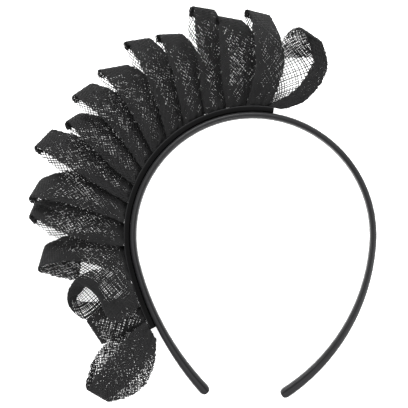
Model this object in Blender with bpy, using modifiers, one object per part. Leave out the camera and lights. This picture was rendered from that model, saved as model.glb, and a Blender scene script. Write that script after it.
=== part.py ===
"""Headband fascinator: a satin-covered band with a ruffle of folded loops of open straw cloth.

It lies on its side. X is the photograph's right, Y its up, and Z points at the viewer, so the
band's lower edge is at Z = 0. The origin is the middle of the whole thing's box, at its bottom.

Turns are degrees round the hoop from +X, counter-clockwise. Past the ends of the crown arc they
go on as length along the arms, a degree being as long as it is on the crown.
"""

import math
from typing import NamedTuple

import bmesh
import bpy
from mathutils import Vector

MM = 0.001

# Headband: a crown arc and two longer, flatter arms that draw in towards their tips
CROWN_RADIUS = 64.6 * MM
CROWN_RIGHT = -4.0
CROWN_LEFT = 194.0
RIGHT_ARM_RADIUS = 105.0 * MM
RIGHT_ARM_LENGTH = 99.0 * MM
LEFT_ARM_RADIUS = 155.0 * MM
LEFT_ARM_LENGTH = 80.0 * MM
BAND_WALL = 3.8 * MM
BAND_TIP_WALL = 6.0 * MM
BAND_DEPTH = 10.0 * MM
BAND_TIP_DEPTH = 8.0 * MM
BAND_EDGE_RADIUS = 1.1 * MM
WALL_GROWTH = 1.5
TIP_ROUND = 3.0 * MM
TIP_SHARE = 0.55
CROWN_STEPS = 36
ARM_STEPS = 10
TIP_STEPS = 3
CORNER_STEPS = 2

# Base strip, sewn along the band's outer side under the ruffle
BASE_START = 80.7
BASE_END = 225.0
BASE_WALL = 3.0 * MM
BASE_DEPTH = 8.4 * MM
BASE_LIFT = 0.8 * MM
BASE_EDGE_RADIUS = 0.75 * MM
BASE_STEPS = 40

# Ruffle: one long bias-cut strip of straw cloth, folded into a row of tilted loops
CLEARANCE = 0.3 * MM
CLOTH_WALL = 1.0 * MM
STRIP_WIDTH = 25.0 * MM
LOOP_RISE = 50.0 * MM
RUFFLE_DEPTH = 25.0 * MM
SEAT_WIDTH = 8.4 * MM
SEAT_GAP = 0.7 * MM
FOLD_RADIUS = 1.2 * MM
LEG_STEPS = 8
FOLD_STEPS = 4
CROSS_STEPS = 4
STRIP_STEPS = 22
FOLD_SHARE = 0.05
CROWNED = 0.20

# Finishes, as colour and roughness, and the angle from which an edge is sharp
SATIN = ((0.013, 0.013, 0.014), 0.35)
BASE_CLOTH = ((0.010, 0.010, 0.011), 0.6)
STRAW = ((0.020, 0.020, 0.021), 0.7)
SHARP_ANGLE = 40.0


class Tilt(NamedTuple):
    """How a loop's strip leans, as shares of RUFFLE_DEPTH: the depths of its two side edges.

    Right is the side of the smaller turn. The belly is how far each leg bulges from the middle.
    """

    seat_right: float
    seat_left: float
    middle_right: float
    middle_left: float
    fold_right: float
    fold_left: float
    belly: float


FACING = Tilt(0.10, 0.28, 0.17, 0.82, 0.12, 0.98, 0.055)
TURNED = Tilt(0.10, 0.28, 0.16, 0.79, 0.10, 0.90, 0.045)
TUCKED = Tilt(0.22, 0.22, 0.32, 0.30, 0.32, 0.34, 0.03)
HANGING = Tilt(0.30, 0.14, 0.74, 0.38, 0.80, 0.14, 0.14)


class Loop(NamedTuple):
    """One loop of the ruffle, seen with its seat below and its fold on top.

    Turns are degrees. Rises are shares of LOOP_RISE above the seats, and widths and spreads of
    STRIP_WIDTH. The near leg lies that much of a spread to the right, the far leg to the left.
    """

    name: str
    tilt: Tilt
    seat: float
    middle: float
    width: float
    spread: float
    fold_right: float
    rise_right: float
    fold_left: float
    rise_left: float


LOOPS = [
    Loop("loop_02", TURNED, 88.5, 86.2, 0.62, 0.03, 86.2, 0.97, 91.9, 1.00),
    Loop("loop_03", FACING, 97.0, 95.2, 0.92, 0.03, 93.3, 0.91, 99.5, 0.96),
    Loop("loop_04", TURNED, 107.0, 104.2, 0.66, 0.03, 100.1, 1.06, 105.1, 1.12),
    Loop("loop_05", FACING, 117.5, 113.0, 0.70, 0.03, 110.0, 0.90, 115.7, 0.96),
    Loop("loop_06", TURNED, 127.0, 121.2, 0.68, 0.03, 118.3, 1.00, 123.7, 1.07),
    Loop("loop_07", FACING, 136.0, 130.4, 0.76, 0.03, 127.0, 0.88, 133.4, 1.01),
    Loop("loop_08", TURNED, 144.5, 139.2, 0.68, 0.03, 137.4, 0.99, 142.6, 1.03),
    Loop("loop_09", FACING, 152.5, 148.2, 0.74, 0.03, 145.7, 0.89, 149.0, 0.93),
    Loop("loop_10", TURNED, 161.0, 156.8, 0.72, 0.03, 152.9, 1.05, 158.1, 1.11),
    Loop("loop_11", FACING, 170.0, 166.4, 0.76, 0.03, 166.1, 0.97, 170.8, 1.02),
    Loop("loop_12", FACING, 180.0, 176.0, 0.80, 0.02, 171.7, 0.97, 175.1, 0.99),
    Loop("loop_13", TURNED, 191.0, 187.2, 0.62, 0.13, 183.6, 0.85, 189.0, 0.92),
    Loop("loop_15", TUCKED, 215.0, 214.6, 0.60, 0.02, 210.6, 0.58, 221.4, 0.52),
    Loop("loop_16", HANGING, 224.0, 233.0, 0.96, -0.06, 233.4, 0.88, 241.3, 0.78),
]


class Station(NamedTuple):
    """A place along a strip: its near edge and its far edge, in turns, rises and depths."""

    near_turn: float
    near_rise: float
    near_depth: float
    far_turn: float
    far_rise: float
    far_depth: float


# The open loop at the ruffle's right-hand end: a near leg on edge, a fold, a far leg face on
OPEN_LOOP = [
    Station(81.0, 0.00, 0.34, 83.0, 0.00, 0.24),
    Station(76.6, 0.00, 0.55, 79.0, 0.09, 0.28),
    Station(69.7, 0.13, 0.74, 74.9, 0.19, 0.30),
    Station(67.0, 0.29, 0.82, 72.3, 0.34, 0.32),
    Station(66.2, 0.45, 0.86, 71.2, 0.51, 0.34),
    Station(67.1, 0.61, 0.86, 71.7, 0.63, 0.36),
    Station(71.1, 0.80, 0.80, 77.1, 0.88, 0.34),
    Station(70.6, 0.71, 0.40, 81.0, 0.76, 0.14),
    Station(69.5, 0.50, 0.16, 80.9, 0.50, 0.06),
    Station(72.5, 0.24, 0.08, 82.0, 0.27, 0.05),
    Station(81.5, 0.00, 0.08, 84.2, 0.00, 0.05),
]

# The curled loop near the ruffle's lower end: a wide near leg that curls under round a small hole
CURLED_LOOP = [
    Station(206.9, 0.00, 0.45, 212.5, 0.00, 0.35),
    Station(199.3, 0.04, 0.78, 215.0, 0.10, 0.66),
    Station(194.5, 0.13, 0.92, 216.0, 0.25, 0.84),
    Station(192.4, 0.28, 0.96, 212.6, 0.35, 0.92),
    Station(192.6, 0.45, 0.98, 204.4, 0.37, 0.92),
    Station(194.9, 0.59, 0.96, 197.7, 0.46, 0.86),
    Station(199.2, 0.68, 0.88, 199.1, 0.54, 0.60),
    Station(204.7, 0.69, 0.60, 197.5, 0.53, 0.24),
    Station(210.5, 0.58, 0.22, 197.0, 0.43, 0.10),
    Station(213.0, 0.34, 0.12, 199.4, 0.18, 0.08),
    Station(210.0, 0.00, 0.12, 205.5, 0.00, 0.08),
]


def turned(turn, radius):
    """A point at that turn and distance from the hoop's centre."""
    angle = math.radians(turn)
    return Vector((radius * math.cos(angle), radius * math.sin(angle), 0.0))


def degree_length():
    """How far one degree of turn goes along the band."""
    return math.radians(CROWN_RADIUS)


def beside_band(turn, offset):
    """A point that far outside the band's middle line, and the outward direction there."""
    on_crown = min(max(turn, CROWN_RIGHT), CROWN_LEFT)
    outward = turned(on_crown, 1.0)
    if turn == on_crown:
        return outward * (CROWN_RADIUS + offset), outward
    side = 1.0 if turn > CROWN_LEFT else -1.0
    radius = LEFT_ARM_RADIUS if side > 0 else RIGHT_ARM_RADIUS
    centre = outward * (CROWN_RADIUS - radius)
    along = math.degrees(abs(turn - on_crown) * degree_length() / radius)
    outward = turned(on_crown + side * along, 1.0)
    return centre + outward * (radius + offset), outward


def band_ends():
    """The turns at which the right and the left arm end."""
    right = CROWN_RIGHT - RIGHT_ARM_LENGTH / degree_length()
    left = CROWN_LEFT + LEFT_ARM_LENGTH / degree_length()
    return right, left


def arm_share(turn):
    """0 on the crown, growing to 1 at the tip of an arm."""
    right, left = band_ends()
    past_left = (turn - CROWN_LEFT) / (left - CROWN_LEFT)
    past_right = (CROWN_RIGHT - turn) / (CROWN_RIGHT - right)
    return max(0.0, past_left, past_right)


def band_wall(turn):
    """The band's thickness, which grows towards the tips."""
    return BAND_WALL + (BAND_TIP_WALL - BAND_WALL) * arm_share(turn) ** WALL_GROWTH


def band_depth(turn):
    """The band's depth, which shrinks towards the tips."""
    return BAND_DEPTH + (BAND_TIP_DEPTH - BAND_DEPTH) * arm_share(turn)


def rounded_section(wall, depth, radius):
    """A rectangle with rounded corners, as pairs of outward and upward distances."""
    corners = [(1, 1, 0), (-1, 1, 90), (-1, -1, 180), (1, -1, 270)]
    points = []
    for side, up, start in corners:
        for step in range(CORNER_STEPS + 1):
            angle = math.radians(start + 90.0 * step / CORNER_STEPS)
            out = side * (wall / 2 - radius) + radius * math.cos(angle)
            high = up * (depth / 2 - radius) + radius * math.sin(angle)
            points.append((out, high + depth / 2))
    return points


def band_turns():
    """The turns at which the band has a section, from the right tip to the left one."""
    right, left = band_ends()
    rounding = TIP_ROUND / degree_length()
    turns = []
    for step in range(TIP_STEPS):
        turns.append(right + rounding * (1 - math.cos(math.radians(90.0 * step / TIP_STEPS))))
    for step in range(ARM_STEPS):
        turns.append(right + rounding + (CROWN_RIGHT - right - rounding) * step / ARM_STEPS)
    for step in range(CROWN_STEPS):
        turns.append(CROWN_RIGHT + (CROWN_LEFT - CROWN_RIGHT) * step / CROWN_STEPS)
    for step in range(ARM_STEPS + 1):
        turns.append(CROWN_LEFT + (left - rounding - CROWN_LEFT) * step / ARM_STEPS)
    for step in reversed(range(TIP_STEPS)):
        turns.append(left - rounding * (1 - math.cos(math.radians(90.0 * step / TIP_STEPS))))
    return turns


def tip_scale(turn):
    """How much of its full section the band has there: less only where a tip is rounded."""
    right, left = band_ends()
    distance = min(turn - right, left - turn) * degree_length()
    if distance >= TIP_ROUND:
        return 1.0
    share = 1.0 - distance / TIP_ROUND
    return TIP_SHARE + (1.0 - TIP_SHARE) * math.sqrt(max(0.0, 1.0 - share * share))


def band_sections():
    """The band's sections in space."""
    sections = []
    for turn in band_turns():
        scale = tip_scale(turn)
        wall = band_wall(turn) * scale
        depth = band_depth(turn)
        middle, outward = beside_band(turn, 0.0)
        points = rounded_section(wall, depth, BAND_EDGE_RADIUS * scale)
        sections.append([middle + outward * out + Vector((0, 0, high)) for out, high in points])
    return sections


def base_sections():
    """The base strip's sections, seated against the band's outer face."""
    sections = []
    for step in range(BASE_STEPS + 1):
        turn = BASE_START + (BASE_END - BASE_START) * step / BASE_STEPS
        offset = band_wall(turn) / 2 + CLEARANCE + BASE_WALL / 2
        middle, outward = beside_band(turn, offset)
        points = rounded_section(BASE_WALL, BASE_DEPTH, BASE_EDGE_RADIUS)
        rise = Vector((0, 0, BASE_LIFT))
        sections.append([middle + outward * out + rise + Vector((0, 0, high)) for out, high in points])
    return sections


def seat_offset(turn):
    """How far outside the band's middle line the loops are seated, just clear of the base strip."""
    return band_wall(turn) / 2 + CLEARANCE + BASE_WALL + SEAT_GAP


def raised(turn, rise, depth):
    """A point of the ruffle from a turn, a share of the rise and a share of the depth."""
    place, _ = beside_band(turn, seat_offset(turn) + rise * LOOP_RISE)
    place.z = depth * RUFFLE_DEPTH
    return place


def through(first, middle, last, share):
    """The smooth curve through three points, at that share of its way."""
    weights = ((1 - share) * (1 - 2 * share), 4 * share * (1 - share), share * (2 * share - 1))
    return first * weights[0] + middle * weights[1] + last * weights[2]


def loop_seat(loop, side):
    """The seat of one side edge of a loop: side is -1 right, 1 left, 0 the middle."""
    tilt = loop.tilt
    place, outward = beside_band(loop.seat + side * SEAT_WIDTH / 2 / degree_length(), 0.0)
    place += outward * seat_offset(loop.seat)
    place.z = RUFFLE_DEPTH * (tilt.seat_right + (tilt.seat_left - tilt.seat_right) * (side + 1) / 2)
    return place


def loop_fold(loop, side):
    """The end of a loop's fold on one side edge: side is -1 right, 1 left."""
    if side > 0:
        return raised(loop.fold_left, loop.rise_left, loop.tilt.fold_left)
    return raised(loop.fold_right, loop.rise_right, loop.tilt.fold_right)


def loop_axis(loop):
    """The direction in which a loop stands, seen from the front, and the one across it."""
    outward = loop_fold(loop, 1) + loop_fold(loop, -1) - 2 * loop_seat(loop, 0)
    outward.z = 0.0
    outward.normalize()
    return outward, Vector((0.0, 0.0, 1.0)).cross(outward)


def loop_edge(loop, side, share, leg):
    """A point on one side edge of a leg's sheet: side is -1 right, 1 left; leg is 1 near, -1 far."""
    depth = loop.tilt.middle_left if side > 0 else loop.tilt.middle_right
    middle = raised(loop.middle, (loop.rise_left + loop.rise_right) / 4, depth)
    middle += loop_axis(loop)[1] * STRIP_WIDTH * (side * loop.width / 2 - leg * loop.spread)
    return through(loop_seat(loop, side), middle, loop_fold(loop, side), share)


def leg_sheet(loop, share, across, leg):
    """A point on the sheet that a leg swells from: across runs from -1 to 1."""
    right = loop_edge(loop, -1, share, leg)
    left = loop_edge(loop, 1, share, leg)
    return right.lerp(left, (across + 1) / 2)


def leg_direction(loop, share, leg):
    """The way in which a loop's near leg stands off its far leg."""
    over = leg_sheet(loop, share, 1, leg) - leg_sheet(loop, share, -1, leg)
    return loop_axis(loop)[0].cross(over).normalized()


def loop_point(loop, along, across):
    """A point of a loop: along runs from the near leg's seat, over the fold, to the far seat."""
    leg_length = LOOP_RISE * (loop.rise_left + loop.rise_right) / 2
    bend_start = 1.0 - FOLD_RADIUS / leg_length
    way = min(along, 1.0 - along) / (0.5 - FOLD_SHARE)
    if way > 1.0:
        angle = math.pi * (along - 0.5 + FOLD_SHARE) / (2 * FOLD_SHARE)
        share = bend_start + (1.0 - bend_start) * math.sin(angle)
        leg = math.cos(angle)
        distance = FOLD_RADIUS * leg
    else:
        share = bend_start * way
        leg = 1 if along < 0.5 else -1
        belly = loop.tilt.belly * RUFFLE_DEPTH * (1 + CROWNED * (1 - across * across))
        distance = leg * (FOLD_RADIUS + belly * math.sin(math.pi * way) ** 2)
    return leg_sheet(loop, share, across, leg) + leg_direction(loop, share, leg) * distance


def smooth_value(values, place):
    """A smooth curve through evenly spaced values, at a place counted in values."""
    last = len(values) - 1
    index = min(int(place), last - 1)
    part = place - index
    before = values[max(index - 1, 0)]
    start, end = values[index], values[index + 1]
    after = values[min(index + 2, last)]
    return (
        start
        + 0.5 * part * (end - before)
        + part * part * (before - 2.5 * start + 2 * end - 0.5 * after)
        + part ** 3 * (1.5 * start - 0.5 * before - 1.5 * end + 0.5 * after)
    )


def strip_point(stations, along, across):
    """A point of a strip that runs through its stations: across is 1 on its near edge."""
    near_edge = [raised(row.near_turn, row.near_rise, row.near_depth) for row in stations]
    far_edge = [raised(row.far_turn, row.far_rise, row.far_depth) for row in stations]
    place = along * (len(stations) - 1)
    near = smooth_value(near_edge, place)
    far = smooth_value(far_edge, place)
    return far.lerp(near, (across + 1) / 2)


def loop_stations():
    """The places along a loop at which its mesh has a row of points."""
    leg = [(0.5 - FOLD_SHARE) * step / LEG_STEPS for step in range(LEG_STEPS + 1)]
    bend = [0.5 - FOLD_SHARE + 2 * FOLD_SHARE * step / FOLD_STEPS for step in range(1, FOLD_STEPS)]
    return leg + bend + [1.0 - place for place in reversed(leg)]


def new_material(name, finish):
    """A plain material for one sub-part, from its colour and roughness."""
    colour, roughness = finish
    material = bpy.data.materials.new(name)
    material.use_nodes = True
    shader = material.node_tree.nodes["Principled BSDF"]
    shader.inputs["Base Color"].default_value = (*colour, 1.0)
    shader.inputs["Roughness"].default_value = roughness
    shader.inputs["Metallic"].default_value = 0.0
    material.diffuse_color = (*colour, 1.0)
    return material


def new_object(name, shape, material, collection, parent):
    """An object from a bmesh, in its collection and under its parent."""
    mesh = bpy.data.meshes.new(name)
    bmesh.ops.recalc_face_normals(shape, faces=shape.faces)
    shape.to_mesh(mesh)
    shape.free()
    mesh.materials.append(material)
    mesh.shade_smooth()
    mesh.set_sharp_from_angle(angle=math.radians(SHARP_ANGLE))
    item = bpy.data.objects.new(name, mesh)
    collection.objects.link(item)
    item.parent = parent
    return item


def loft(sections):
    """A closed shape through rings of equally many points."""
    shape = bmesh.new()
    rings = [[shape.verts.new(point) for point in section] for section in sections]
    count = len(rings[0])
    for ring, following in zip(rings, rings[1:]):
        for index in range(count):
            after = (index + 1) % count
            shape.faces.new((ring[index], ring[after], following[after], following[index]))
    shape.faces.new(rings[0])
    shape.faces.new(rings[-1])
    return shape


def sheet(places, point_at):
    """An open sheet, whose points are given by how far along and across they lie."""
    shape = bmesh.new()
    rows = len(places) - 1
    bmesh.ops.create_grid(shape, x_segments=rows, y_segments=CROSS_STEPS, size=1.0)
    for vertex in shape.verts:
        index = round((vertex.co.x + 1) / 2 * rows)
        vertex.co = point_at(places[index], vertex.co.y)
    return shape


def add_wall(item, thickness):
    """Gives a sheet of cloth its thickness, half to each side."""
    wall = item.modifiers.new("wall", "SOLIDIFY")
    wall.thickness = thickness
    wall.offset = 0.0
    wall.use_even_offset = False


def build_ruffle(collection, parent):
    """Every loop of the ruffle, each a sheet with its own wall and its own finish."""
    shapes = {}
    for loop in LOOPS:
        shapes[loop.name] = sheet(loop_stations(), lambda along, across: loop_point(loop, along, across))
    places = [step / STRIP_STEPS for step in range(STRIP_STEPS + 1)]
    for name, stations in (("loop_01_open", OPEN_LOOP), ("loop_14_curled", CURLED_LOOP)):
        shapes[name] = sheet(places, lambda along, across: strip_point(stations, along, across))
    for name, shape in shapes.items():
        finish = new_material(name + "_straw", STRAW)
        add_wall(new_object(name, shape, finish, collection, parent), CLOTH_WALL)


def settle_origin(parent, collection):
    """Moves everything so that the world's origin is the box's middle, at its bottom."""
    bpy.context.view_layer.update()
    depsgraph = bpy.context.evaluated_depsgraph_get()
    points = []
    for item in collection.objects:
        if item.type == "MESH":
            evaluated = item.evaluated_get(depsgraph)
            points += [item.matrix_world @ vertex.co for vertex in evaluated.data.vertices]
    lowest = Vector([min(point[axis] for point in points) for axis in range(3)])
    highest = Vector([max(point[axis] for point in points) for axis in range(3)])
    middle = (lowest + highest) / 2
    parent.location = (-middle.x, -middle.y, -lowest.z)
    bpy.context.view_layer.update()


def main():
    """Clears the scene and builds the fascinator."""
    for item in list(bpy.data.objects):
        bpy.data.objects.remove(item)
    collection = bpy.data.collections.new("fascinator")
    bpy.context.scene.collection.children.link(collection)
    hoop = bpy.data.objects.new("hoop_centre", None)
    collection.objects.link(hoop)
    satin = new_material("headband_satin", SATIN)
    base_cloth = new_material("base_strip_satin", BASE_CLOTH)
    new_object("headband", loft(band_sections()), satin, collection, hoop)
    new_object("base_strip", loft(base_sections()), base_cloth, collection, hoop)
    build_ruffle(collection, hoop)
    settle_origin(hoop, collection)


main()
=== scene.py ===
"""Looks of the headband fascinator: satin over the band, and a ruffle woven thread by thread.

Every loop of the ruffle is open straw cloth. Its threads are laid out on the flat strip, on the
bias, then carried onto the loop's folded surface and made round by Geometry Nodes.
"""

from __future__ import annotations

import logging
import math
from dataclasses import dataclass, field
from enum import Enum
from typing import Any, NamedTuple

import bpy
import numpy as np
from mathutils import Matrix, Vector

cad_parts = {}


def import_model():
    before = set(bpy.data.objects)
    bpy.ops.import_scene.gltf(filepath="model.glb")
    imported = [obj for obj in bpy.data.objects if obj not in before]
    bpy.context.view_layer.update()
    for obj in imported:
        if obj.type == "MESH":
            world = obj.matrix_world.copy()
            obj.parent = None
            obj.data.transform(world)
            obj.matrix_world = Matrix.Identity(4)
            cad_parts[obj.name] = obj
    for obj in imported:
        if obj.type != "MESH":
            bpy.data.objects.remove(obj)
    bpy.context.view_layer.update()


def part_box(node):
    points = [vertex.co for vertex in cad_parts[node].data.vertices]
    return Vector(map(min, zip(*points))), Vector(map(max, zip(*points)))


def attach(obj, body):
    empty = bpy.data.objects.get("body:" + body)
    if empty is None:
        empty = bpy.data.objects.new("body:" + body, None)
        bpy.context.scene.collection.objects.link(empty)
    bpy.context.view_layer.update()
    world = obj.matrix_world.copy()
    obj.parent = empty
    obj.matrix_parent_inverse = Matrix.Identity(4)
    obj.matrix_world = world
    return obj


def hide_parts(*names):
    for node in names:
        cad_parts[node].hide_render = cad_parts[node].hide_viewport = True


LOG = logging.getLogger("fascinator")
MM = 0.001
BODY = "root"
UP = np.array((0.0, 0.0, 1.0))
Array = np.ndarray


class Signal:
    """A shader or geometry socket on which sums can be written as plain expressions."""

    def __init__(self, bench: NodeBench, socket: Any) -> None:
        """Wraps an output socket of a node that stands on the bench."""
        self.bench = bench
        self.socket = socket

    def _math(self, operation: str, *values: Any) -> Signal:
        """Adds a Math node with that operation."""
        kind = "ShaderNodeMath"
        return self.bench.node(kind, {"operation": operation}, dict(enumerate(values)))

    def __add__(self, other: Any) -> Signal:
        """This plus other."""
        return self._math("ADD", self, other)

    def __mul__(self, other: Any) -> Signal:
        """This times other."""
        return self._math("MULTIPLY", self, other)


class NodeBench:
    """Adds nodes to one tree and joins them."""

    def __init__(self, tree: Any) -> None:
        """Keeps the tree that the nodes go in."""
        self.tree = tree

    def node(
        self, kind: str, settings: dict[str, Any], values: dict[Any, Any], out: Any = 0
    ) -> Signal:
        """Adds a node.

        Args:
            kind: the node's type.
            settings: its own settings, set before its sockets.
            values: numbers, colours or signals by socket name or number.
            out: the output to return.

        Returns:
            The chosen output as a signal.
        """
        made = self.tree.nodes.new(kind)
        for name, value in settings.items():
            setattr(made, name, value)
        for name, value in values.items():
            if isinstance(value, Signal):
                self.tree.links.new(value.socket, made.inputs[name])
            else:
                made.inputs[name].default_value = value
        return Signal(self, made.outputs[out])


class Lean(Enum):
    """How a loop's strip leans, as shares of the ruffle's depth, and how far its legs part.

    The order is seat right, seat left, middle right, middle left, fold right, fold left, belly.
    """

    FACING = (0.10, 0.28, 0.17, 0.82, 0.12, 0.98, 0.055)
    TURNED = (0.10, 0.28, 0.16, 0.79, 0.10, 0.90, 0.045)
    TUCKED = (0.22, 0.22, 0.32, 0.30, 0.32, 0.34, 0.030)
    HANGING = (0.30, 0.14, 0.74, 0.38, 0.80, 0.14, 0.140)


class Loop(NamedTuple):
    """One folded loop: turns in degrees, rises as shares of the loop rise.

    The gather, the width at the seat, and the width and the spread at the middle are shares of the
    strip's width. The near leg lies a spread to the right of the middle, the far leg to the left.
    The strip is of two plies from the near leg's seat to double_to, a share of its length.
    """

    node: str
    lean: Lean
    seat: float
    gather: float
    middle: float
    width: float
    spread: float
    fold_right: float
    rise_right: float
    fold_left: float
    rise_left: float
    double_to: float = 0.55


class Station(NamedTuple):
    """A place along an open strip: its near edge and its far edge, in turns, rises and depths."""

    near_turn: float
    near_rise: float
    near_depth: float
    far_turn: float
    far_rise: float
    far_depth: float


LOOPS = [
    Loop("loop_02", Lean.TURNED, 88.5, 0.44, 86.2, 0.62, 0.03, 86.2, 0.97, 91.9, 1.00),
    Loop("loop_03", Lean.FACING, 97.0, 0.44, 95.2, 0.92, 0.03, 93.3, 0.91, 99.5, 0.96),
    Loop("loop_04", Lean.TURNED, 107.0, 0.44, 104.2, 0.66, 0.03, 100.1, 1.06, 105.1, 1.12),
    Loop("loop_05", Lean.FACING, 117.5, 0.44, 113.0, 0.70, 0.03, 110.0, 0.90, 115.7, 0.96),
    Loop("loop_06", Lean.TURNED, 127.0, 0.44, 121.2, 0.68, 0.03, 118.3, 1.00, 123.7, 1.07),
    Loop("loop_07", Lean.FACING, 136.0, 0.44, 130.4, 0.76, 0.03, 127.0, 0.88, 133.4, 1.01),
    Loop("loop_08", Lean.TURNED, 144.5, 0.44, 139.2, 0.68, 0.03, 137.4, 0.99, 142.6, 1.03),
    Loop("loop_09", Lean.FACING, 152.5, 0.44, 148.2, 0.74, 0.03, 145.7, 0.89, 149.0, 0.93),
    Loop("loop_10", Lean.TURNED, 161.0, 0.44, 156.8, 0.72, 0.03, 152.9, 1.05, 158.1, 1.11),
    Loop("loop_11", Lean.FACING, 170.0, 0.44, 166.4, 0.76, 0.03, 166.1, 0.97, 170.8, 1.02),
    Loop("loop_12", Lean.FACING, 180.0, 0.44, 176.0, 0.80, 0.02, 171.7, 0.97, 175.1, 0.99),
    Loop("loop_13", Lean.TURNED, 193.2, 0.74, 187.2, 0.62, 0.13, 183.6, 0.85, 189.0, 0.92, 0.74),
    Loop("loop_15", Lean.TUCKED, 215.0, 0.50, 214.6, 0.74, 0.02, 210.6, 0.58, 221.4, 0.52),
    Loop("loop_16", Lean.HANGING, 225.0, 0.42, 233.0, 0.96, -0.06, 233.4, 0.88, 241.3, 0.78, 1.0),
]

OPEN_LOOP = [
    Station(81.0, 0.00, 0.34, 83.0, 0.00, 0.24),
    Station(76.6, 0.00, 0.55, 79.0, 0.09, 0.28),
    Station(69.7, 0.13, 0.74, 74.9, 0.19, 0.30),
    Station(67.0, 0.29, 0.82, 72.3, 0.34, 0.32),
    Station(66.2, 0.45, 0.86, 71.2, 0.51, 0.34),
    Station(67.1, 0.61, 0.86, 71.7, 0.63, 0.36),
    Station(71.1, 0.80, 0.80, 77.1, 0.88, 0.34),
    Station(70.6, 0.71, 0.40, 81.0, 0.76, 0.14),
    Station(69.5, 0.50, 0.16, 80.9, 0.50, 0.06),
    Station(72.5, 0.24, 0.08, 82.0, 0.27, 0.05),
    Station(81.5, 0.00, 0.08, 84.2, 0.00, 0.05),
]

CURLED_LOOP = [
    Station(201.8, 0.00, 0.45, 212.5, 0.00, 0.35),
    Station(199.6, 0.03, 0.78, 215.0, 0.08, 0.66),
    Station(194.5, 0.13, 0.92, 216.0, 0.25, 0.84),
    Station(192.4, 0.28, 0.96, 212.6, 0.35, 0.92),
    Station(192.6, 0.45, 0.98, 204.4, 0.37, 0.92),
    Station(194.9, 0.59, 0.96, 197.7, 0.46, 0.86),
    Station(199.2, 0.68, 0.88, 199.1, 0.54, 0.60),
    Station(204.7, 0.69, 0.60, 197.5, 0.53, 0.24),
    Station(210.5, 0.58, 0.22, 195.4, 0.40, 0.10),
    Station(213.0, 0.34, 0.12, 196.0, 0.14, 0.08),
    Station(210.0, 0.00, 0.12, 202.5, 0.00, 0.08),
]


@dataclass(frozen=True)
class OpenPlan:
    """An open strip: its node, its stations, and where it is of two plies.

    It is doubled along the strip up to double_to, a line that slants by double_slant from the
    middle to an edge, and all along where it is nearer its near edge than double_edge.
    """

    node: str
    stations: list[Station]
    double_to: float
    double_slant: float
    double_edge: float


OPEN_PLANS = [
    OpenPlan("loop_01_open", OPEN_LOOP, 0.70, 0.03, 1.5),
    OpenPlan("loop_14_curled", CURLED_LOOP, 0.62, 0.0, 0.1),
]


@dataclass
class Hoop:
    """The headband's middle line: a crown arc and two flatter arms, found from the frame."""

    crown_radius: float = 64.6 * MM
    crown_right: float = -4.0
    crown_left: float = 194.0
    right_radius: float = 105.0 * MM
    right_length: float = 99.0 * MM
    left_radius: float = 155.0 * MM
    left_length: float = 80.0 * MM
    wall: float = 3.8 * MM
    tip_wall: float = 6.0 * MM
    depth: float = 10.0 * MM
    tip_depth: float = 8.0 * MM
    wall_growth: float = 1.5
    centre: Array = field(default_factory=lambda: np.zeros(3))

    def settle(self) -> None:
        """Finds the hoop's centre from the band's highest corner, which the crown arc touches."""
        _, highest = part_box("headband")
        reach = self.crown_radius + self.wall / 2
        self.centre = np.array((highest.x - reach, highest.y - reach, 0.0))

    @property
    def degree(self) -> float:
        """How far one degree of turn goes along the band."""
        return math.radians(self.crown_radius)

    @property
    def ends(self) -> tuple[float, float]:
        """The turns at which the right and the left arm end."""
        right = self.crown_right - self.right_length / self.degree
        return right, self.crown_left + self.left_length / self.degree

    def beside(self, turn: float, offset: float) -> tuple[Array, Array]:
        """A point beside the band.

        Args:
            turn: degrees round the hoop, or as far again along an arm.
            offset: how far outside the band's middle line.

        Returns:
            The point and the outward direction there.
        """
        on_crown = min(max(turn, self.crown_right), self.crown_left)
        outward = direction(on_crown)
        if turn == on_crown:
            return self.centre + outward * (self.crown_radius + offset), outward
        side = 1.0 if turn > self.crown_left else -1.0
        radius = self.left_radius if side > 0 else self.right_radius
        middle = self.centre + outward * (self.crown_radius - radius)
        along = math.degrees(abs(turn - on_crown) * self.degree / radius)
        outward = direction(on_crown + side * along)
        return middle + outward * (radius + offset), outward

    def arm_share(self, turn: float) -> float:
        """0 on the crown, growing to 1 at the tip of an arm."""
        right, left = self.ends
        past_left = (turn - self.crown_left) / (left - self.crown_left)
        past_right = (self.crown_right - turn) / (self.crown_right - right)
        return max(0.0, past_left, past_right)

    def wall_at(self, turn: float) -> float:
        """The band's thickness."""
        return self.wall + (self.tip_wall - self.wall) * self.arm_share(turn) ** self.wall_growth

    def depth_at(self, turn: float) -> float:
        """The band's depth."""
        return self.depth + (self.tip_depth - self.depth) * self.arm_share(turn)


@dataclass
class RuffleSizes:
    """Sizes of the ruffle that its strips share."""

    clearance: float = 0.3 * MM
    base_wall: float = 3.0 * MM
    seat_gap: float = 0.2 * MM
    strip_width: float = 25.0 * MM
    loop_rise: float = 50.0 * MM
    depth: float = 25.0 * MM
    fold_radius: float = 1.2 * MM
    fold_share: float = 0.05
    crowned: float = 0.20
    pleat: float = 0.55 * MM
    pleats: float = 3.0
    pleat_phase: float = 0.6
    pleat_reach: float = 0.45

    def seat_offset(self, hoop: Hoop, turn: float) -> float:
        """How far outside the band's middle line the loops are seated."""
        return hoop.wall_at(turn) / 2 + self.clearance + self.base_wall + self.seat_gap

    def raised(self, hoop: Hoop, turn: float, rise: float, depth: float) -> Array:
        """A point of the ruffle from a turn, a share of the rise and a share of the depth."""
        place, _ = hoop.beside(turn, self.seat_offset(hoop, turn) + rise * self.loop_rise)
        return place + UP * depth * self.depth


def direction(turn: float) -> Array:
    """The unit direction at that turn."""
    angle = math.radians(turn)
    return np.array((math.cos(angle), math.sin(angle), 0.0))


def unit(vectors: Array) -> Array:
    """The vectors at unit length."""
    lengths = np.linalg.norm(vectors, axis=-1, keepdims=True)
    return vectors / np.maximum(lengths, 1e-12)


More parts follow.
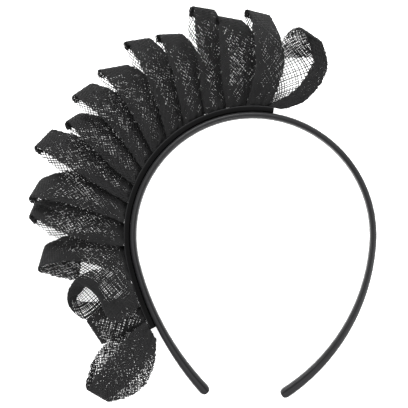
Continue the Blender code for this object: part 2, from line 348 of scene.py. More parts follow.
class Sheet(NamedTuple):
    """A strip's surface on an even grid, with its normals and its flat width and length."""

    points: Array
    normals: Array
    width: float
    length: float

    def read(self, grid: Array, along: Array, across: Array) -> Array:
        """One of the grids between its points: along the strip 0 to 1, across it -1 to 1."""
        rows, columns = grid.shape[:2]
        row = np.clip(along, 0.0, 1.0) * (rows - 1)
        return blend_grid(grid, row, (across + 1) / 2 * (columns - 1))


class StrawStrip:
    """A strip of straw cloth as a surface: along it 0 to 1, across it -1 to 1.

    Its flat width is that which usual_percent of the places along it don't go past.
    """

    refined: int = 4
    usual_percent: float = 85.0

    def __init__(self, node: str, sizes: RuffleSizes, double_to: float) -> None:
        """Keeps the strip's node, the ruffle's sizes and the share of the strip that is doubled."""
        self.node = node
        self.sizes = sizes
        self.double_to = double_to

    def surface(self, along: Array, across: Array) -> Array:
        """Points at every pairing of along and across."""
        raise NotImplementedError

    def doubled(self, along: Array, across: Array) -> Array:
        """Where the strip is of two plies."""
        raise NotImplementedError

    def even_grid(self, rows: int = 241, columns: int = 25) -> Sheet:
        """The surface on a grid whose rows are evenly spaced along the strip's middle line.

        Args:
            rows: points along the strip.
            columns: points across it.

        Returns:
            The grid, with the strip's flat width and length.
        """
        fine = np.linspace(0.0, 1.0, self.refined * rows)
        middle = self.surface(fine, np.zeros(1))[:, 0]
        steps = np.linalg.norm(np.diff(middle, axis=0), axis=1)
        travelled = np.concatenate(([0.0], np.cumsum(steps)))
        even = np.interp(np.linspace(0.0, travelled[-1], rows), travelled, fine)
        points = self.surface(even, np.linspace(-1.0, 1.0, columns))
        widths = np.linalg.norm(points[:, -1] - points[:, 0], axis=1)
        normals = unit(np.cross(np.gradient(points, axis=0), np.gradient(points, axis=1)))
        width = float(np.percentile(widths, self.usual_percent))
        return Sheet(points, normals, width, float(travelled[-1]))


class FoldedStrip(StrawStrip):
    """A loop: a near leg out from its seat, a fold, and a far leg back."""

    def __init__(self, plan: Loop, hoop: Hoop, sizes: RuffleSizes) -> None:
        """Works out the ends of the loop's two side edges.

        Args:
            plan: the loop's row.
            hoop: the band that it is seated on.
            sizes: the ruffle's sizes.
        """
        super().__init__(plan.node, sizes, plan.double_to)
        self.plan = plan
        lean = plan.lean.value
        seat_turn = plan.gather * sizes.strip_width / 2 / hoop.degree
        offset = sizes.seat_offset(hoop, plan.seat)
        self.seats = []
        for side in (-1, 1):
            place, outward = hoop.beside(plan.seat + side * seat_turn, 0.0)
            lift = UP * lean[(side + 1) // 2] * sizes.depth
            self.seats.append(place + outward * offset + lift)
        self.folds = [
            sizes.raised(hoop, plan.fold_right, plan.rise_right, lean[4]),
            sizes.raised(hoop, plan.fold_left, plan.rise_left, lean[5]),
        ]
        stand = sum(self.folds) - sum(self.seats)
        stand[2] = 0.0
        self.stand = unit(stand)
        self.sideways = np.cross(UP, self.stand)
        rise = (plan.rise_left + plan.rise_right) / 4
        self.middles = [sizes.raised(hoop, plan.middle, rise, lean[2 + side]) for side in (0, 1)]
        self.belly = lean[6] * sizes.depth

    def edge(self, side: int, share: Array, leg: Array) -> Array:
        """Points on one side edge of a leg's sheet.

        Args:
            side: 0 for the right edge, 1 for the left one.
            share: how far out each point is, from 0 at the seat to 1 at the fold.
            leg: 1 on the near leg, -1 on the far one, and between them on the bend.

        Returns:
            The points, before the leg's own distance from the sheet's middle.
        """
        first = (1 - share) * (1 - 2 * share)
        second = 4 * share * (1 - share)
        third = share * (2 * share - 1)
        out = (2 * side - 1) * self.plan.width / 2 - leg * self.plan.spread
        shifted = self.middles[side] + (out * self.sizes.strip_width)[:, None] * self.sideways
        ends = first[:, None] * self.seats[side] + third[:, None] * self.folds[side]
        return ends + second[:, None] * shifted

    def surface(self, along: Array, across: Array) -> Array:
        """The loop's surface: a bend joins two swelling legs, pleated where they are seated.

        Args:
            along: places along the strip.
            across: places across it.

        Returns:
            Points at every pairing of along and across.
        """
        sizes, plan = self.sizes, self.plan
        leg_length = sizes.loop_rise * (plan.rise_left + plan.rise_right) / 2
        bend_start = 1.0 - sizes.fold_radius / leg_length
        way = np.minimum(along, 1.0 - along) / (0.5 - sizes.fold_share)
        on_bend = way > 1.0
        angle = math.pi * (along - 0.5 + sizes.fold_share) / (2 * sizes.fold_share)
        share = np.where(on_bend, bend_start + (1 - bend_start) * np.sin(angle), bend_start * way)
        swell = np.where(on_bend, 0.0, np.sin(math.pi * np.minimum(way, 1.0)) ** 2)
        leg = np.where(on_bend, np.cos(angle), np.where(along < 0.5, 1.0, -1.0))
        right, left = self.edge(0, share, leg), self.edge(1, share, leg)
        part = (across[None, :, None] + 1) / 2
        sheet = right[:, None] * (1 - part) + left[:, None] * part
        over = unit(np.cross(self.stand, left - right))
        crowned = 1 + sizes.crowned * (1 - across * across)
        belly = (leg * swell * self.belly)[:, None] * crowned
        distance = (leg * sizes.fold_radius)[:, None] + belly
        gathered = np.clip(1 - share / sizes.pleat_reach, 0.0, 1.0) ** 2
        wave = np.sin(math.pi * sizes.pleats * across + sizes.pleat_phase)
        distance = distance + (leg * gathered)[:, None] * sizes.pleat * wave[None, :]
        return sheet + over[:, None] * distance[..., None]

    def doubled(self, along: Array, across: Array) -> Array:
        """Two plies from the near leg's seat up to a share of the strip's length."""
        return along < self.double_to


class OpenStrip(StrawStrip):
    """A strip that runs through stations, such as the open loop and the curled one."""

    def __init__(self, plan: OpenPlan, hoop: Hoop, sizes: RuffleSizes) -> None:
        """Works out the two edges' points."""
        super().__init__(plan.node, sizes, plan.double_to)
        self.plan = plan
        self.near = np.array([sizes.raised(hoop, *row[:3]) for row in plan.stations])
        self.far = np.array([sizes.raised(hoop, *row[3:]) for row in plan.stations])

    @staticmethod
    def smooth(points: Array, place: Array) -> Array:
        """A smooth curve through points.

        Args:
            points: what the curve passes through.
            place: where it is read, counted in points.

        Returns:
            The curve's points.
        """
        last = len(points) - 1
        index = np.minimum(place.astype(int), last - 1)
        part = (place - index)[:, None]
        before = points[np.maximum(index - 1, 0)]
        start, end = points[index], points[index + 1]
        after = points[np.minimum(index + 2, last)]
        return (
            start
            + 0.5 * part * (end - before)
            + part**2 * (before - 2.5 * start + 2 * end - 0.5 * after)
            + part**3 * (1.5 * start - 0.5 * before - 1.5 * end + 0.5 * after)
        )

    def surface(self, along: Array, across: Array) -> Array:
        """Points at every pairing of along and across."""
        place = along * (len(self.near) - 1)
        near, far = self.smooth(self.near, place), self.smooth(self.far, place)
        part = (across[None, :, None] + 1) / 2
        return far[:, None] * (1 - part) + near[:, None] * part

    def doubled(self, along: Array, across: Array) -> Array:
        """Two plies up to a slanting line, and beyond it only beside the near edge."""
        plan = self.plan
        return (along < plan.double_to - plan.double_slant * across) | (across > plan.double_edge)


@dataclass(frozen=True)
class Finish:
    """What every finish has: a name, a colour, its roughness and how much they vary."""

    name: str
    colour: tuple[float, float, float]
    pale: tuple[float, float, float]
    roughness: float
    spread: float
    grain: float

    def build(self) -> bpy.types.Material:
        """Makes the material.

        Returns:
            The new material, whose one shader is dressed by the finish.
        """
        material = bpy.data.materials.new(self.name)
        material.use_nodes = True
        tree = material.node_tree
        tree.nodes.clear()
        bench = NodeBench(tree)
        place = bench.node("ShaderNodeTexCoord", {}, {}, "Object")
        shader = bench.node("ShaderNodeBsdfPrincipled", {}, self.dress(bench, place), "BSDF")
        output = tree.nodes.new("ShaderNodeOutputMaterial")
        tree.links.new(shader.socket, output.inputs["Surface"])
        return material

    def mottle(self, bench: NodeBench, place: Signal, scale: float, detail: float) -> Signal:
        """A noise between 0 and 1.

        Args:
            bench: where its node goes.
            place: the object's own coordinates.
            scale: how fine it is.
            detail: how many finer layers it has.

        Returns:
            The noise.
        """
        values = {"Vector": place, "Scale": scale, "Detail": detail}
        return bench.node("ShaderNodeTexNoise", {}, values, "Fac")

    def tint(self, bench: NodeBench, amount: Signal) -> Signal:
        """The colour, from the deep one at 0 to the pale one at 1, as a signal."""
        settings = {"data_type": "RGBA"}
        values = {"Factor": amount, 6: (*self.colour, 1.0), 7: (*self.pale, 1.0)}
        return bench.node("ShaderNodeMix", settings, values, 2)

    def dress(self, bench: NodeBench, place: Signal) -> dict[str, Any]:
        """The shader's values."""
        raise NotImplementedError


@dataclass(frozen=True)
class Satin(Finish):
    """Satin ribbon: fine threads along the band, faint pulls, and a marked line: painted shade
    along the band's seam, a painted highlight along the base strip's bound edge.
    """

    # The colour painted where the mark is: black by default, painted shade on the band's seam; the
    # base cloth gives a paler one, a painted highlight on its bound edge.
    painted_shade_highlight_colour: tuple[float, float, float] = (0.0, 0.0, 0.0)
    gloss: float = 0.3
    broad_scale: float = 55.0
    thread_scale: float = 2600.0
    ribs: float = 9000.0
    relief: float = 0.1 * MM

    def dress(self, bench: NodeBench, place: Signal) -> dict[str, Any]:
        """The shader's values, with the piece's mark painted over: painted shade on the band's seam
        and a painted highlight on the base strip's bound edge.

        Args:
            bench: where its nodes go.
            place: the object's own coordinates.

        Returns:
            The shader's values by socket name.
        """
        broad = self.mottle(bench, place, self.broad_scale, 3.0)
        fine = self.mottle(bench, place, self.thread_scale, 2.0)
        height = bench.node("ShaderNodeSeparateXYZ", {}, {"Vector": place}, "Z")
        ribs = bench.node("ShaderNodeMath", {"operation": "SINE"}, {0: height * self.ribs})
        mark = bench.node("ShaderNodeAttribute", {"attribute_name": "mark"}, {}, "Fac")
        # Where the mark is, the colour turns to painted shade on the band's seam and to a painted
        # highlight on the base strip's bound edge.
        values = {"Factor": mark, 6: self.tint(bench, broad), 7: (*self.painted_shade_highlight_colour, 1.0)}
        colour = bench.node("ShaderNodeMix", {"data_type": "RGBA"}, values, 2)
        height = fine * 0.6 + ribs * 0.2
        raised = {"Strength": self.grain, "Distance": self.relief, "Height": height}
        return {
            "Base Color": colour,
            "Roughness": (broad + fine) * self.spread + (self.roughness - self.spread),
            "Normal": bench.node("ShaderNodeBump", {}, raised, "Normal"),
            "Specular IOR Level": self.gloss,
        }


@dataclass(frozen=True)
class Straw(Finish):
    """Straw thread: matt fibre with a slight gloss, paler and darker from thread to thread."""

    gloss: float = 0.2
    broad_scale: float = 160.0
    fibre_scale: float = 1500.0
    relief: float = 0.08 * MM

    def dress(self, bench: NodeBench, place: Signal) -> dict[str, Any]:
        """The shader's values.

        Args:
            bench: where its nodes go.
            place: the object's own coordinates.

        Returns:
            The shader's values by socket name.
        """
        broad = self.mottle(bench, place, self.broad_scale, 2.0)
        fine = self.mottle(bench, place, self.fibre_scale, 3.0)
        values = {"Strength": self.grain, "Distance": self.relief, "Height": fine}
        return {
            "Base Color": self.tint(bench, broad * 0.6 + fine * 0.4),
            "Roughness": fine * self.spread + (self.roughness - self.spread / 2),
            "Normal": bench.node("ShaderNodeBump", {}, values, "Normal"),
            "Specular IOR Level": self.gloss,
        }


@dataclass(frozen=True)
class Paper(Finish):
    """The pale floor, a light table, so that next to no shadow shows on it."""

    glow: float = 0.9
    broad_scale: float = 6.0

    def dress(self, bench: NodeBench, place: Signal) -> dict[str, Any]:
        """The shader's values."""
        broad = self.mottle(bench, place, self.broad_scale, 2.0)
        glow = {"Emission Color": (1.0, 1.0, 1.0, 1.0), "Emission Strength": self.glow}
        return {"Base Color": self.tint(bench, broad), "Roughness": self.roughness, **glow}


@dataclass(frozen=True)
class Ply:
    """One layer of weave: its threads' spacing, radius and slant, and how far it lies off."""

    pitch: float
    thread: float
    bias: float
    stand_off: float


class Lines(NamedTuple):
    """Threads as lines: points, edges, and the lift and the thread's radius at each point."""

    points: Array
    edges: Array
    lifts: Array
    radii: Array

    @classmethod
    def joined(cls, parts: list[Lines]) -> Lines:
        """Several sets of lines as one."""
        starts = np.cumsum([0] + [len(part.points) for part in parts[:-1]])
        moved = [part._replace(edges=part.edges + start) for part, start in zip(parts, starts)]
        return cls(*(np.concatenate(arrays) for arrays in zip(*moved)))


@dataclass
class Weave:
    """Open straw weave, laid out on the flat strip and carried onto its surface.

    Jitter and drift are shares of a ply's pitch, and the waves are lengths that it drifts over.
    The thinnest and thickest threads and the lift are shares of a ply's thread radius.
    """

    whole: Ply = Ply(1.62 * MM, 0.21 * MM, 45.0, 0.0)
    second: Ply = Ply(0.95 * MM, 0.23 * MM, 52.0, 0.45 * MM)
    sides: int = 4
    jitter: float = 0.16
    slant: float = 6.0
    drift: float = 0.35
    first_wave: float = 9 * MM
    second_wave: float = 11 * MM
    phases: float = 6.28
    thinnest: float = 0.72
    thickest: float = 1.35
    lift: float = 0.75
    fray: float = 0.6 * MM
    hem_rows: int = 5
    hem_pitch: float = 0.5 * MM
    hem_thread: float = 0.25 * MM
    hem_points: int = 49
    second_seed: int = 100

    def lattice(self, sheet: Sheet, ply: Ply, chance: Any) -> tuple[Array, Array, Array]:
        """The crossings of both sets of threads on the flat strip.

        Args:
            sheet: the strip.
            ply: the layer that is laid out.
            chance: the seeded source of small unevenness.

        Returns:
            The crossings' places along and across, and which of them are on the cloth.
        """
        width, length = sheet.width, sheet.length
        count = 2 * int(math.hypot(length, width) / 2 / ply.pitch) + 3
        evenly = (np.arange(count) - count // 2) * ply.pitch
        uneven = self.jitter * ply.pitch
        first = evenly + chance.uniform(-uneven, uneven, count)
        second = evenly + chance.uniform(-uneven, uneven, count)
        angle = math.radians(ply.bias + chance.uniform(-self.slant, self.slant))
        across, along = np.meshgrid(first, second, indexing="ij")
        phase = chance.uniform(0.0, self.phases, 2)
        across = across + self.drift * ply.pitch * np.sin(along / self.first_wave + phase[0])
        along = along + self.drift * ply.pitch * np.sin(across / self.second_wave + phase[1])
        x = across * math.cos(angle) - along * math.sin(angle) + length / 2
        y = across * math.sin(angle) + along * math.cos(angle) + width / 2
        spare = self.fray * chance.uniform(0.0, 1.0, x.shape)
        inside = (x > 0.0) & (x < length) & (y > -spare) & (y < width + spare)
        return x / length, y / width * 2 - 1, inside

    def threads(self, strip: StrawStrip, sheet: Sheet, ply: Ply, seed: int) -> Lines:
        """One ply's threads on the strip's surface, over and under each other in turn.

        Args:
            strip: the strip that the threads are laid on.
            sheet: its surface on a grid.
            ply: the layer that is laid, the second one only where the strip is doubled.
            seed: seeds the small unevenness.

        Returns:
            The threads' middle lines.
        """
        chance = np.random.default_rng(seed)
        along, across, inside = self.lattice(sheet, ply, chance)
        if ply is self.second:
            inside = inside & strip.doubled(along, across)
        normal = unit(sheet.read(sheet.normals, along, across))
        place = sheet.read(sheet.points, along, across) + normal * ply.stand_off
        count = len(along)
        parity = (np.add.outer(np.arange(count), np.arange(count)) % 2) * 2.0 - 1.0
        lift = normal * parity[..., None] * ply.thread * self.lift
        index = np.arange(count * count).reshape(count, count)
        one = np.stack((index[:, :-1], index[:, 1:]), axis=-1)[inside[:, :-1] & inside[:, 1:]]
        other = np.stack((index[:-1], index[1:]), axis=-1)[inside[:-1] & inside[1:]]
        thick = chance.uniform(self.thinnest, self.thickest, (2, count)) * ply.thread
        coordinates = np.concatenate((place.reshape(-1, 3), place.reshape(-1, 3)))
        lifts = np.concatenate((lift.reshape(-1, 3), -lift.reshape(-1, 3)))
        radii = np.concatenate((np.repeat(thick[0], count), np.tile(thick[1], count)))
        edges = np.concatenate((one, other + count * count))
        used = np.unique(edges)
        renumber = np.full(len(coordinates), -1)
        renumber[used] = np.arange(len(used))
        return Lines(coordinates[used], renumber[edges], lifts[used], radii[used])

    def hem(self, sheet: Sheet) -> Lines:
        """The rows of gathering thread across both ends of the strip.

        Args:
            sheet: the surface of the strip that they run across.

        Returns:
            The rows' middle lines.
        """
        inset = (np.arange(self.hem_rows) + 0.5) * self.hem_pitch / sheet.length
        places = np.concatenate((inset, 1.0 - inset)), np.linspace(-1.0, 1.0, self.hem_points)
        along, across = np.meshgrid(*places, indexing="ij")
        place = sheet.read(sheet.points, along, across).reshape(-1, 3)
        index = np.arange(len(place)).reshape(along.shape)
        edges = np.stack((index[:, :-1], index[:, 1:]), axis=-1).reshape(-1, 2)
        return Lines(place, edges, np.zeros(place.shape), np.full(len(place), self.hem_thread))

    def tree(self) -> bpy.types.NodeTree:
        """The Geometry Nodes that make round threads from their middle lines.

        Returns:
            The tree. It reads each point's lift and its thread's radius from the lines.
        """
        group = bpy.data.node_groups.new("straw_threads", "GeometryNodeTree")
        ports = group.interface
        ports.new_socket("Geometry", in_out="INPUT", socket_type="NodeSocketGeometry")
        ports.new_socket("Sides", in_out="INPUT", socket_type="NodeSocketInt")
        ports.new_socket("Finish", in_out="INPUT", socket_type="NodeSocketMaterial")
        ports.new_socket("Geometry", in_out="OUTPUT", socket_type="NodeSocketGeometry")
        bench = NodeBench(group)
        given = group.nodes.new("NodeGroupInput")
        lines, sides, finish = (Signal(bench, given.outputs[n]) for n in range(3))
        read = "GeometryNodeInputNamedAttribute"
        lift = bench.node(read, {"data_type": "FLOAT_VECTOR"}, {"Name": "lift"})
        thick = bench.node(read, {"data_type": "FLOAT"}, {"Name": "thick"})
        raised = bench.node("GeometryNodeSetPosition", {}, {"Geometry": lines, "Offset": lift})
        curves = bench.node("GeometryNodeMeshToCurve", {}, {"Mesh": raised})
        values = {"Resolution": sides, "Radius": 1.0}
        ring = bench.node("GeometryNodeCurvePrimitiveCircle", {}, values)
        values = {"Curve": curves, "Profile Curve": ring, "Scale": thick, "Fill Caps": True}
        tubes = bench.node("GeometryNodeCurveToMesh", {}, values)
        whole = bench.node("GeometryNodeRealizeInstances", {}, {"Geometry": tubes})
        dressed = bench.node("GeometryNodeSetMaterial", {}, {"Geometry": whole, "Material": finish})
        output = group.nodes.new("NodeGroupOutput")
        group.links.new(dressed.socket, output.inputs[0])
        return group

    def cloth(
        self, strip: StrawStrip, sheet: Sheet, group: Any, finish: Any, seed: int
    ) -> bpy.types.Object:
        """One strip of woven straw as a mesh.

        Args:
            strip: the strip.
            sheet: its surface on a grid.
            group: the tree that makes its threads round.
            finish: its material.
            seed: seeds its small unevenness.

        Returns:
            The new piece, at the origin.
        """
        whole = self.threads(strip, sheet, self.whole, seed)
        second = self.threads(strip, sheet, self.second, seed + self.second_seed)
        lines = Lines.joined([whole, second, self.hem(sheet)])
        guide = bpy.data.meshes.new(strip.node + "_lines")
        guide.from_pydata(lines.points.tolist(), lines.edges.tolist(), [])
        lift = guide.attributes.new("lift", "FLOAT_VECTOR", "POINT")
        lift.data.foreach_set("vector", lines.lifts.ravel())
        thick = guide.attributes.new("thick", "FLOAT", "POINT")
        thick.data.foreach_set("value", lines.radii)
        settings = {"Sides": self.sides, "Finish": finish}
        return realised(strip.node + "_straw", guide, group, settings)


def blend_grid(grid: Array, row: Array, column: Array) -> Array:
    """Reads a grid between its points, and in a straight line past its sides.

    Args:
        grid: values in rows and columns.
        row: the rows read, in whole rows and parts of them.
        column: the columns read, likewise.

    Returns:
        The values there.
    """
    rows, columns = grid.shape[:2]
    low = np.clip(np.floor(row).astype(int), 0, rows - 2)
    left = np.clip(np.floor(column).astype(int), 0, columns - 2)
    up, over = (row - low)[..., None], (column - left)[..., None]
    first = grid[low, left] * (1 - over) + grid[low, left + 1] * over
    second = grid[low + 1, left] * (1 - over) + grid[low + 1, left + 1] * over
    return first * (1 - up) + second * up


def realised(name: str, guide: Any, group: Any, settings: dict[str, Any]) -> bpy.types.Object:
    """Runs a Geometry Nodes tree on a guide mesh and keeps the result as a plain mesh.

    Args:
        name: the new piece's name.
        guide: the mesh that the tree starts from.
        group: the tree.
        settings: its inputs by name.

    Returns:
        The new piece, at the origin.
    """
    holder = bpy.data.objects.new(name + "_guide", guide)
    bpy.context.scene.collection.objects.link(holder)
    modifier = holder.modifiers.new("threads", "NODES")
    modifier.node_group = group
    for item in group.interface.items_tree:
        if item.in_out == "INPUT" and item.name in settings:
            modifier[item.identifier] = settings[item.name]
    bpy.context.view_layer.update()
    depsgraph = bpy.context.evaluated_depsgraph_get()
    mesh = bpy.data.meshes.new_from_object(holder.evaluated_get(depsgraph))
    mesh.name = name
    bpy.data.objects.remove(holder)
    bpy.data.meshes.remove(guide)
    mesh.shade_smooth()
    piece = bpy.data.objects.new(name, mesh)
    bpy.context.scene.collection.objects.link(piece)
    return piece


def loft(name: str, rings: Array, finish: Any) -> bpy.types.Object:
    """A closed piece through rings of equally many points, each end closed by a fan.

    Args:
        name: the new piece's name.
        rings: the rings' points, ring by ring.
        finish: its material.

    Returns:
        The new piece, at the origin.
    """
    count, around = rings.shape[:2]
    points = np.concatenate((rings.reshape(-1, 3), rings[:1].mean(axis=1), rings[-1:].mean(axis=1)))
    faces = []
    for ring in range(count - 1):
        for place in range(around):
            after = (place + 1) % around
            low, high = ring * around, (ring + 1) * around
            faces.append((low + place, low + after, high + after, high + place))
    first, last, top = count * around, count * around + 1, (count - 1) * around
    for place in range(around):
        after = (place + 1) % around
        faces.append((first, after, place))
        faces.append((last, top + place, top + after))
    mesh = bpy.data.meshes.new(name)
    mesh.from_pydata(points.tolist(), [], faces)
    mesh.materials.append(finish)
    mesh.shade_smooth()
    piece = bpy.data.objects.new(name, mesh)
    bpy.context.scene.collection.objects.link(piece)
    return piece


def marked(piece: bpy.types.Object, mark: Array, rings: int) -> bpy.types.Object:
    """Writes a mark round every ring of a loft, for its material to read: painted shade on the
    band's seam, a painted highlight on the base strip's bound edge.

    Args:
        piece: the loft.
        mark: the mark's value at each point round a ring.
        rings: how many rings it has.

    Returns:
        The same piece.
    """
    values = np.concatenate((np.tile(mark, rings), np.zeros(2)))
    piece.data.attributes.new("mark", "FLOAT", "POINT").data.foreach_set("value", values)
    return piece


def rounded(angle: Array, width: float, height: float, squareness: float) -> tuple[Array, Array]:
    """A section between an ellipse and a rectangle.

    Args:
        angle: the angles of its points.
        width: its size sideways.
        height: its size upwards.
        squareness: 2 for an ellipse, and more for squarer corners.

    Returns:
        The points' distances sideways and upwards from its middle.
    """
    power = 2.0 / squareness
    out = np.sign(np.cos(angle)) * np.abs(np.cos(angle)) ** power * width / 2
    high = np.sign(np.sin(angle)) * np.abs(np.sin(angle)) ** power * height / 2
    return out, high


def ridge(angle: Array, centre: float, reach: float) -> Array:
    """1 at the centre, in degrees, and 0 away from it."""
    return np.exp(-(((angle - math.radians(centre)) / reach) ** 2))


@dataclass
class Headband:
    """The satin-covered band: a padded section with a seam along its inner side, grooved and
    painted black as painted shade.
    """

    hoop: Hoop
    rings: int = 300
    around: int = 64
    squareness: float = 3.6
    tip_round: float = 3.2 * MM
    tip_share: float = 0.35
    tip_step: float = 12.0
    seam_depth: float = 0.35 * MM
    seam_angle: float = 97.0
    seam_reach: float = 0.07
    wrinkle: float = 0.05 * MM
    wrinkle_turns: tuple[float, float] = (1.7, 0.53)

    def section(self, angle: Array, wall: float, depth: float, turn: float) -> Array:
        """The section's points as outward and upward distances.

        Args:
            angle: the angles of its points.
            wall: the band's thickness.
            depth: its depth.
            turn: where it is cut, which sets its wrinkles.

        Returns:
            A row with both distances for each point. The underside is flat.
        """
        out, high = rounded(angle, wall, depth, self.squareness)
        high = high - ridge(angle, self.seam_angle, self.seam_reach) * self.seam_depth
        first, second = self.wrinkle_turns
        pull = np.sin(turn * first + angle * 2.0) * np.sin(turn * second + angle) * self.wrinkle
        out = out + pull * np.cos(angle)
        high = np.maximum(high + pull * np.sin(angle), -depth / 2)
        return np.stack((out, high + depth / 2), axis=-1)

    def build(self, finish: Any) -> bpy.types.Object:
        """Makes the band from tip to tip.

        Args:
            finish: its material.

        Returns:
            The new piece, at the origin.
        """
        angle = np.linspace(0.0, 2 * math.pi, self.around, endpoint=False)
        right, left = self.hoop.ends
        turns = np.linspace(right, left, self.rings)
        rounding = self.tip_round / self.hoop.degree
        steps = rounding * (1 - np.cos(np.radians(np.arange(0.0, 90.0, self.tip_step))))
        inner = turns[(turns > right + rounding) & (turns < left - rounding)]
        turns = np.concatenate((right + steps, inner, (left - steps)[::-1]))
        rings = []
        for turn in turns:
            distance = min(turn - right, left - turn) * self.hoop.degree
            share = max(0.0, 1.0 - distance / self.tip_round)
            round_off = math.sqrt(max(0.0, 1.0 - share * share))
            scale = self.tip_share + (1.0 - self.tip_share) * round_off
            wall, depth = self.hoop.wall_at(turn) * scale, self.hoop.depth_at(turn)
            points = self.section(angle, wall, depth, turn)
            middle, outward = self.hoop.beside(float(turn), 0.0)
            rings.append(middle + points[:, :1] * outward + points[:, 1:] * UP)
        # The seam's mask: here the satin is painted black, painted shade in the seam's groove.
        seam = ridge(angle, self.seam_angle, self.seam_reach)
        return marked(loft("headband_satin", np.array(rings), finish), seam, len(rings))


@dataclass
class BaseStrip:
    """The strip under the ruffle, with its bound edge, raised and painted paler as a painted
    highlight.
    """

    hoop: Hoop
    sizes: RuffleSizes
    start: float = 80.7
    end: float = 225.0
    depth: float = 8.4 * MM
    lift: float = 0.8 * MM
    rings: int = 260
    around: int = 28
    squareness: float = 5.0
    binding: float = 0.35 * MM
    binding_angle: float = 48.0
    binding_reach: float = 0.30
    stitches: float = 9.0
    stitch_share: float = 0.25
    hug: float = 0.27 * MM

    def build(self, finish: Any) -> bpy.types.Object:
        """Makes the strip against the band's outer face.

        Args:
            finish: its material.

        Returns:
            The new piece, at the origin.
        """
        angle = np.linspace(0.0, 2 * math.pi, self.around, endpoint=False)
        wall = self.sizes.base_wall + self.hug
        out, high = rounded(angle, wall, self.depth, self.squareness)
        # The bound edge's ridge, which is also the mask where its painted highlight goes.
        bound = ridge(angle, self.binding_angle, self.binding_reach)
        rings = []
        for turn in np.linspace(self.start, self.end, self.rings):
            inner = self.hoop.wall_at(turn) / 2 + self.sizes.clearance - self.hug
            middle, outward = self.hoop.beside(float(turn), inner + wall / 2)
            stitch = 1.0 - self.stitch_share + self.stitch_share * math.cos(turn * self.stitches)
            rise = high + bound * self.binding * stitch + self.depth / 2 + self.lift
            rings.append(middle + out[:, None] * outward + rise[:, None] * UP)
        return marked(loft("base_strip_cloth", np.array(rings), finish), bound, len(rings))


@dataclass
class Ruffle:
    """All the loops of straw cloth."""

    hoop: Hoop
    sizes: RuffleSizes
    weave: Weave = field(default_factory=Weave)

    def strips(self) -> list[StrawStrip]:
        """Every strip of the ruffle."""
        folded = [FoldedStrip(plan, self.hoop, self.sizes) for plan in LOOPS]
        first, curled = (OpenStrip(plan, self.hoop, self.sizes) for plan in OPEN_PLANS)
        return [first, *folded, curled]

    def build(self, finish: Any) -> None:
        """Weaves every loop and hands it to the frame.

        Args:
            finish: the straw's material.
        """
        group = self.weave.tree()
        for seed, strip in enumerate(self.strips()):
            sheet = strip.even_grid()
            piece = self.weave.cloth(strip, sheet, group, finish, seed)
            place(piece, "straw_cloth", strip.node)


class Lamp(NamedTuple):
    """A soft square lamp that looks at the origin."""

    name: str
    place: tuple[float, float, float]
    power: float
    size: float

    def build(self) -> None:
        """Hangs the lamp."""
        data = bpy.data.lights.new(self.name, "AREA")
        data.energy = self.power
        data.size = self.size
        item = bpy.data.objects.new(self.name, data)
        item.location = self.place
        item.rotation_euler = Vector(self.place).to_track_quat("Z", "Y").to_euler()
        bpy.context.scene.collection.objects.link(item)


LAMPS = [
    Lamp("key", (-0.35, 0.9, 1.0), 26.0, 0.7),
    Lamp("fill", (0.9, -0.3, 0.9), 12.0, 0.8),
]


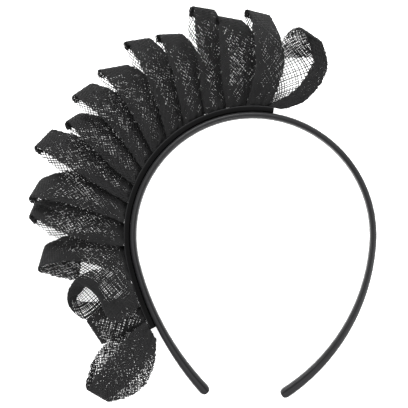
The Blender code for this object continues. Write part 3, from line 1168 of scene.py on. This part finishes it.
@dataclass
class Studio:
    """A plain pale floor, soft lights and the camera."""

    centre_px: tuple[float, float] = (253.35, 235.2)
    frame_px: float = 408.0
    pixel: float = 0.5365 * MM
    distance: float = 1.6
    focus_height: float = 12.0 * MM
    sensor: float = 36.0
    clip_end: float = 20.0
    floor_half: float = 3.0
    sky: float = 0.85

    def camera(self, hoop: Hoop) -> None:
        """Looks straight down at the hoop's plane, framed as the photograph is.

        Args:
            hoop: the headband's middle line, whose centre the photograph shows at centre_px.
        """
        data = bpy.data.cameras.new("camera")
        data.sensor_width = self.sensor
        data.lens = self.sensor * (self.distance - self.focus_height) / (self.frame_px * self.pixel)
        data.clip_end = self.clip_end
        item = bpy.data.objects.new("camera", data)
        right = (self.frame_px / 2 - self.centre_px[0]) * self.pixel
        up = (self.centre_px[1] - self.frame_px / 2) * self.pixel
        item.location = (hoop.centre[0] + right, hoop.centre[1] + up, self.distance)
        bpy.context.scene.collection.objects.link(item)
        bpy.context.scene.camera = item

    def floor(self, finish: Any) -> None:
        """A wide pale floor under the piece.

        Args:
            finish: its material.
        """
        half = self.floor_half
        corners = [(-half, -half, 0.0), (half, -half, 0.0), (half, half, 0.0), (-half, half, 0.0)]
        mesh = bpy.data.meshes.new("floor")
        mesh.from_pydata(corners, [], [(0, 1, 2, 3)])
        mesh.materials.append(finish)
        item = bpy.data.objects.new("floor", mesh)
        bpy.context.scene.collection.objects.link(item)

    def light(self) -> None:
        """An even pale sky, with one lamp from above the crown and a weaker one from the side."""
        world = bpy.data.worlds.new("studio")
        world.use_nodes = True
        shade = world.node_tree.nodes["Background"]
        shade.inputs["Color"].default_value = (1.0, 1.0, 1.0, 1.0)
        shade.inputs["Strength"].default_value = self.sky
        bpy.context.scene.world = world
        bpy.context.scene.view_settings.view_transform = "Standard"
        for lamp in LAMPS:
            lamp.build()


def place(piece: bpy.types.Object, slot: str, node: str) -> None:
    """Lets a finished piece stand for a node of the solid model.

    Args:
        piece: the piece.
        slot: not used.
        node: the node that it stands for.
    """
    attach(piece, BODY)
    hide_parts(node)
    LOG.info("%s: %d faces", piece.name, len(piece.data.polygons))


PAPER = Paper("floor_paper", (0.86, 0.86, 0.86), (0.90, 0.90, 0.90), 0.9, 0.0, 0.0)
SATIN = Satin(
    name="band_satin",
    colour=(0.010, 0.010, 0.011),
    pale=(0.018, 0.018, 0.019),
    roughness=0.38,
    spread=0.06,
    grain=0.3,
    gloss=0.2,
)
BASE_CLOTH = Satin(
    name="base_cloth",
    colour=(0.001, 0.001, 0.0011),
    pale=(0.003, 0.003, 0.0031),
    roughness=0.7,
    spread=0.05,
    grain=0.5,
    # A paler colour on the bound edge: a painted highlight.
    painted_shade_highlight_colour=(0.03, 0.03, 0.031),
    gloss=0.05,
)
STRAW = Straw(
    name="black_straw",
    colour=(0.003, 0.003, 0.0032),
    pale=(0.022, 0.022, 0.0225),
    roughness=0.60,
    spread=0.25,
    grain=0.4,
)


def main() -> None:
    """Builds the fascinator's looks, piece by piece."""
    logging.basicConfig(level=logging.INFO, format="%(message)s")
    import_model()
    hoop, sizes, studio = Hoop(), RuffleSizes(), Studio()
    hoop.settle()
    studio.camera(hoop)
    studio.light()
    studio.floor(PAPER.build())
    place(Headband(hoop).build(SATIN.build()), "satin", "headband")
    place(BaseStrip(hoop, sizes).build(BASE_CLOTH.build()), "base_cloth", "base_strip")
    Ruffle(hoop, sizes).build(STRAW.build())


if __name__ == "__main__":
    main()
